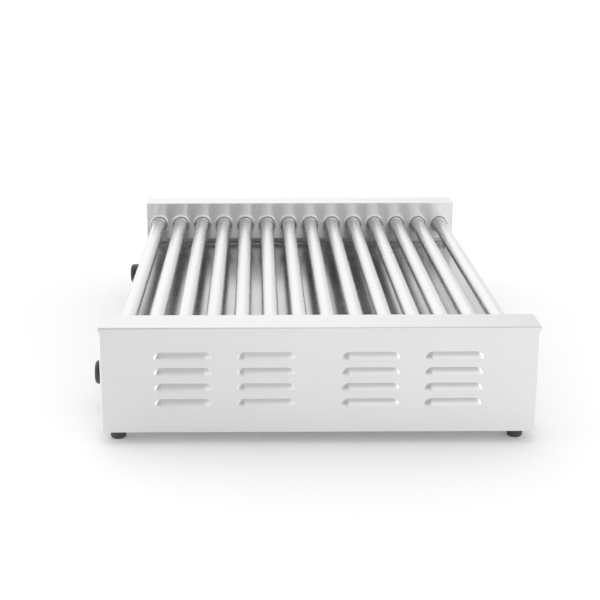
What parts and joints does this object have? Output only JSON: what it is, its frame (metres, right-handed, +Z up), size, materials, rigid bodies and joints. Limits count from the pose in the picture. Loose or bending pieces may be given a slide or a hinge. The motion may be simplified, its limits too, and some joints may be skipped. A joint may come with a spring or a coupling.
{
  "type": "hot dog roller grill",
  "caption": "Countertop grill with a row of heated steel rollers between two louvred stainless end housings, a slide-out drip tray and front control knobs.",
  "frame": {"origin": "on the surface the feet stand on, under the middle of the outline", "axes": "+X along the rollers, to the operator's right; the front with the controls is at -Y; +Z up"},
  "size_m": [0.906, 0.677, 0.177],
  "materials": {
    "brushed_panel": "brushed along its length",
    "polished_tray": "bright, almost mirror",
    "roller_steel": "satin",
    "galvanised_sheet": "matt zinc",
    "machined_steel": "turned",
    "chain_steel": "oiled",
    "motor_paint": "satin black",
    "ptfe": "smooth",
    "heater_sheath": "heat tinted",
    "knob_plastic": "satin black",
    "rocker_plastic": "gloss black",
    "moulded_plastic": "fine texture",
    "amber_lens": "clear amber",
    "terminal_plastic": "smooth",
    "foot_rubber": "matt"
  },
  "bodies": {
    "frame": {"base_pan": "galvanised_sheet", "bearing_bars": "galvanised_sheet", "cord_gland": "moulded_plastic", "cover_screws": "machined_steel", "deck": "galvanised_sheet", "drive_chain": "chain_steel", "feet": "foot_rubber", "front_panel": "brushed_panel", "gear_motor": "motor_paint", "heater_brackets": "galvanised_sheet", "heating_elements": "heater_sheath", "idler_post": "machined_steel", "left_end_cover": "brushed_panel", "left_inner_panel": "brushed_panel", "motor_bracket": "galvanised_sheet", "pilot_lights": "amber_lens", "rear_panel": "brushed_panel", "right_end_cover": "brushed_panel", "right_inner_panel": "brushed_panel", "rocker_cases": "moulded_plastic", "roller_bushes": "ptfe", "terminal_block": "terminal_plastic", "thermostats": "moulded_plastic"},
    "roller_01": {"roller_01": "roller_steel", "roller_sprocket_01": "machined_steel"},
    "roller_02": {"roller_02": "roller_steel", "roller_sprocket_02": "machined_steel"},
    "roller_03": {"roller_03": "roller_steel", "roller_sprocket_03": "machined_steel"},
    "roller_04": {"roller_04": "roller_steel", "roller_sprocket_04": "machined_steel"},
    "roller_05": {"roller_05": "roller_steel", "roller_sprocket_05": "machined_steel"},
    "roller_06": {"roller_06": "roller_steel", "roller_sprocket_06": "machined_steel"},
    "roller_07": {"roller_07": "roller_steel", "roller_sprocket_07": "machined_steel"},
    "roller_08": {"roller_08": "roller_steel", "roller_sprocket_08": "machined_steel"},
    "roller_09": {"roller_09": "roller_steel", "roller_sprocket_09": "machined_steel"},
    "roller_10": {"roller_10": "roller_steel", "roller_sprocket_10": "machined_steel"},
    "roller_11": {"roller_11": "roller_steel", "roller_sprocket_11": "machined_steel"},
    "roller_12": {"roller_12": "roller_steel", "roller_sprocket_12": "machined_steel"},
    "roller_13": {"roller_13": "roller_steel", "roller_sprocket_13": "machined_steel"},
    "roller_14": {"roller_14": "roller_steel", "roller_sprocket_14": "machined_steel"},
    "motor_output": {"motor_sprocket": "machined_steel"},
    "chain_idler": {"idler_sprocket": "machined_steel"},
    "left_knob": {"left_knob": "knob_plastic", "left_spindle": "machined_steel"},
    "right_knob": {"right_knob": "knob_plastic", "right_spindle": "machined_steel"},
    "left_rocker": {"left_rocker": "rocker_plastic"},
    "right_rocker": {"right_rocker": "rocker_plastic"},
    "drip_tray": {"drip_tray": "polished_tray"}
  },
  "joints": [
    {"name": "roller_01_spin", "type": "hinge", "parent": "frame", "child": "roller_01", "pos_m": [0.414, -0.2876, 0.135], "axis": [1, 0, 0], "continuous": true, "deforming": ["drive_chain"]},
    {"name": "roller_02_spin", "type": "hinge", "parent": "frame", "child": "roller_02", "pos_m": [0.414, -0.2436, 0.135], "axis": [1, 0, 0], "continuous": true},
    {"name": "roller_03_spin", "type": "hinge", "parent": "frame", "child": "roller_03", "pos_m": [0.414, -0.1996, 0.135], "axis": [1, 0, 0], "continuous": true},
    {"name": "roller_04_spin", "type": "hinge", "parent": "frame", "child": "roller_04", "pos_m": [0.414, -0.1556, 0.135], "axis": [1, 0, 0], "continuous": true},
    {"name": "roller_05_spin", "type": "hinge", "parent": "frame", "child": "roller_05", "pos_m": [0.414, -0.1116, 0.135], "axis": [1, 0, 0], "continuous": true},
    {"name": "roller_06_spin", "type": "hinge", "parent": "frame", "child": "roller_06", "pos_m": [0.414, -0.0676, 0.135], "axis": [1, 0, 0], "continuous": true},
    {"name": "roller_07_spin", "type": "hinge", "parent": "frame", "child": "roller_07", "pos_m": [0.414, -0.0236, 0.135], "axis": [1, 0, 0], "continuous": true},
    {"name": "roller_08_spin", "type": "hinge", "parent": "frame", "child": "roller_08", "pos_m": [0.414, 0.0204, 0.135], "axis": [1, 0, 0], "continuous": true},
    {"name": "roller_09_spin", "type": "hinge", "parent": "frame", "child": "roller_09", "pos_m": [0.414, 0.0644, 0.135], "axis": [1, 0, 0], "continuous": true},
    {"name": "roller_10_spin", "type": "hinge", "parent": "frame", "child": "roller_10", "pos_m": [0.414, 0.1084, 0.135], "axis": [1, 0, 0], "continuous": true},
    {"name": "roller_11_spin", "type": "hinge", "parent": "frame", "child": "roller_11", "pos_m": [0.414, 0.1524, 0.135], "axis": [1, 0, 0], "continuous": true},
    {"name": "roller_12_spin", "type": "hinge", "parent": "frame", "child": "roller_12", "pos_m": [0.414, 0.1964, 0.135], "axis": [1, 0, 0], "continuous": true},
    {"name": "roller_13_spin", "type": "hinge", "parent": "frame", "child": "roller_13", "pos_m": [0.414, 0.2404, 0.135], "axis": [1, 0, 0], "continuous": true},
    {"name": "roller_14_spin", "type": "hinge", "parent": "frame", "child": "roller_14", "pos_m": [0.414, 0.2844, 0.135], "axis": [1, 0, 0], "continuous": true},
    {"name": "motor_spin", "type": "hinge", "parent": "frame", "child": "motor_output", "pos_m": [0.414, 0.21476, 0.062], "axis": [1, 0, 0], "continuous": true},
    {"name": "idler_spin", "type": "hinge", "parent": "frame", "child": "chain_idler", "pos_m": [0.414, -0.21796, 0.062], "axis": [1, 0, 0], "continuous": true},
    {"name": "left_knob_turn", "type": "hinge", "parent": "frame", "child": "left_knob", "pos_m": [-0.293, -0.3125, 0.056], "axis": [0, 1, 0], "range_deg": [0, 270]},
    {"name": "left_rocker_tip", "type": "hinge", "parent": "frame", "child": "left_rocker", "pos_m": [-0.212, -0.308, 0.056], "axis": [1, 0, 0], "range_deg": [-20, 0]},
    {"name": "right_knob_turn", "type": "hinge", "parent": "frame", "child": "right_knob", "pos_m": [0.293, -0.3125, 0.056], "axis": [0, 1, 0], "range_deg": [0, 270]},
    {"name": "right_rocker_tip", "type": "hinge", "parent": "frame", "child": "right_rocker", "pos_m": [0.212, -0.308, 0.056], "axis": [1, 0, 0], "range_deg": [-20, 0]},
    {"name": "tray_slide", "type": "slide", "parent": "frame", "child": "drip_tray", "axis": [0, -1, 0], "range_m": [0, 0.45]}
  ],
  "couplings": [
    {"joint": "roller_02_spin", "follows": "roller_01_spin", "ratio": 1},
    {"joint": "roller_03_spin", "follows": "roller_01_spin", "ratio": 1},
    {"joint": "roller_04_spin", "follows": "roller_01_spin", "ratio": 1},
    {"joint": "roller_05_spin", "follows": "roller_01_spin", "ratio": 1},
    {"joint": "roller_06_spin", "follows": "roller_01_spin", "ratio": 1},
    {"joint": "roller_07_spin", "follows": "roller_01_spin", "ratio": 1},
    {"joint": "roller_08_spin", "follows": "roller_01_spin", "ratio": 1},
    {"joint": "roller_09_spin", "follows": "roller_01_spin", "ratio": 1},
    {"joint": "roller_10_spin", "follows": "roller_01_spin", "ratio": 1},
    {"joint": "roller_11_spin", "follows": "roller_01_spin", "ratio": 1},
    {"joint": "roller_12_spin", "follows": "roller_01_spin", "ratio": 1},
    {"joint": "roller_13_spin", "follows": "roller_01_spin", "ratio": 1},
    {"joint": "roller_14_spin", "follows": "roller_01_spin", "ratio": 1},
    {"joint": "motor_spin", "follows": "roller_01_spin", "ratio": 1},
    {"joint": "idler_spin", "follows": "roller_01_spin", "ratio": 1}
  ]
}
